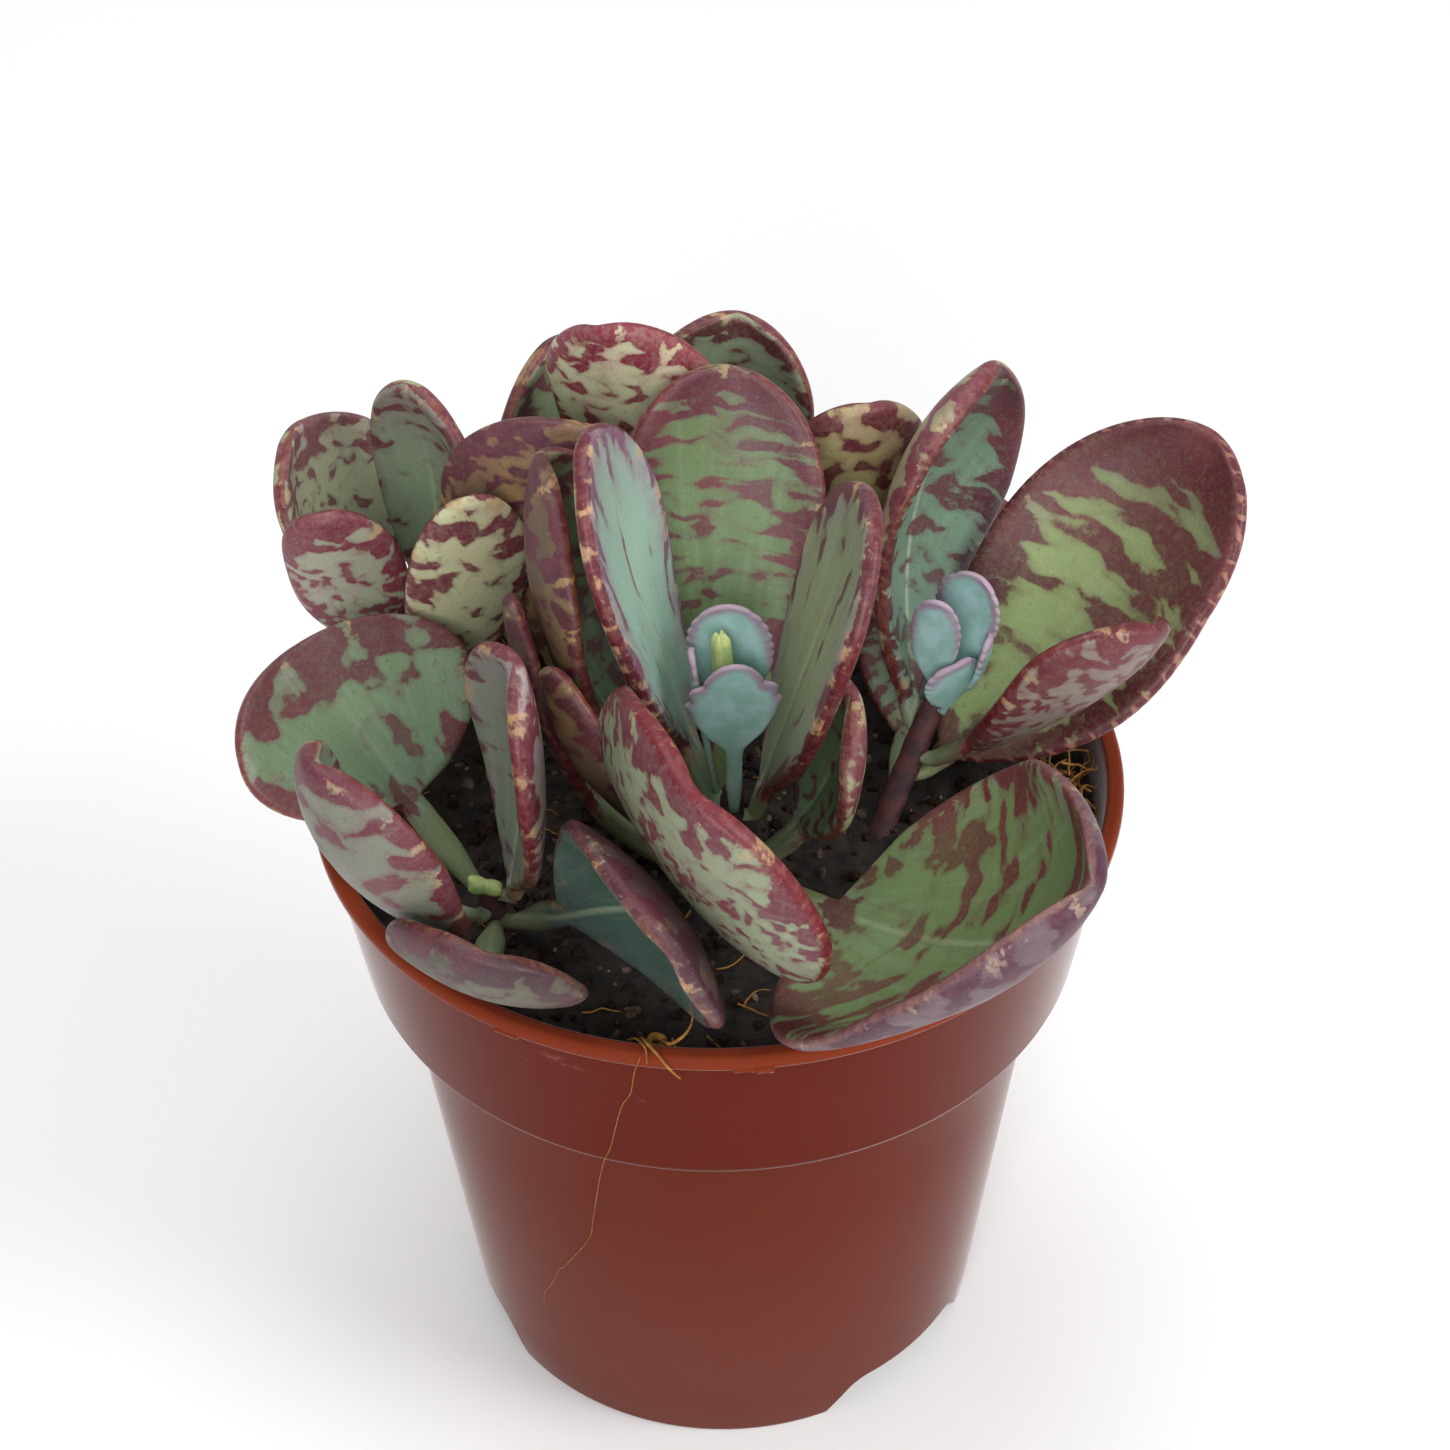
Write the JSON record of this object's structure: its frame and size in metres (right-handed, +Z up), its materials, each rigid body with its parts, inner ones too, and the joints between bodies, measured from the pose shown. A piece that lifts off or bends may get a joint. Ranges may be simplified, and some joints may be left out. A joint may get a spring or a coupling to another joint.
{
  "type": "potted penwiper plant",
  "caption": "Small potted succulent: broad, cupped, maroon-blotched leaves on short shoots in peat, in a thin round terracotta-coloured grow pot.",
  "frame": {"origin": "centre of the pot's flat central foot disc, on the resting surface", "axes": "+Z up; +Y to the back of the plant and +X to its right, as the picture shows it"},
  "size_m": [0.1272, 0.1368, 0.1467],
  "materials": {
    "pot_plastic": "thin moulded terracotta-coloured plastic, slightly glossy",
    "peat": "dark, coarse, damp peat with grit and fibres",
    "stem": "short reddish succulent stem with small glaucous blue-green young leaves",
    "leaf": "thick waxy green leaf blotched with maroon, dark red margin with pale spots"
  },
  "bodies": {
    "root": {"pot": "pot_plastic", "soil": "peat", "stem_centre": "stem", "stem_right": "stem", "stem_left": "stem", "stem_back_left": "stem", "stem_inner_left": "stem", "stem_back": "stem", "stem_back_right": "stem", "centre_leaf_back": "leaf", "centre_leaf_left": "leaf", "centre_leaf_right": "leaf", "centre_leaf_front": "leaf", "centre_leaf_low_left": "leaf", "centre_leaf_far_left": "leaf", "centre_leaf_low_right": "leaf", "centre_leaf_low_outer": "leaf", "centre_leaf_over_rim": "leaf", "right_leaf_back": "leaf", "right_leaf_large": "leaf", "right_leaf_on_edge": "leaf", "left_leaf_broad": "leaf", "left_leaf_upright": "leaf", "left_leaf_outer": "leaf", "left_leaf_at_rim": "leaf", "left_leaf_front": "leaf", "back_left_leaf_outer": "leaf", "back_left_leaf_back": "leaf", "back_left_leaf_front": "leaf", "back_left_leaf_inner": "leaf", "back_leaf_front": "leaf", "inner_left_leaf_back": "leaf", "back_leaf_right": "leaf", "inner_left_leaf_front": "leaf", "back_right_leaf_front": "leaf", "hidden_leaf_back": "leaf", "hidden_leaf_back_right": "leaf", "hidden_leaf_right": "leaf", "hidden_leaf_left": "leaf", "hidden_leaf_under": "leaf"}
  },
  "joints": []
}
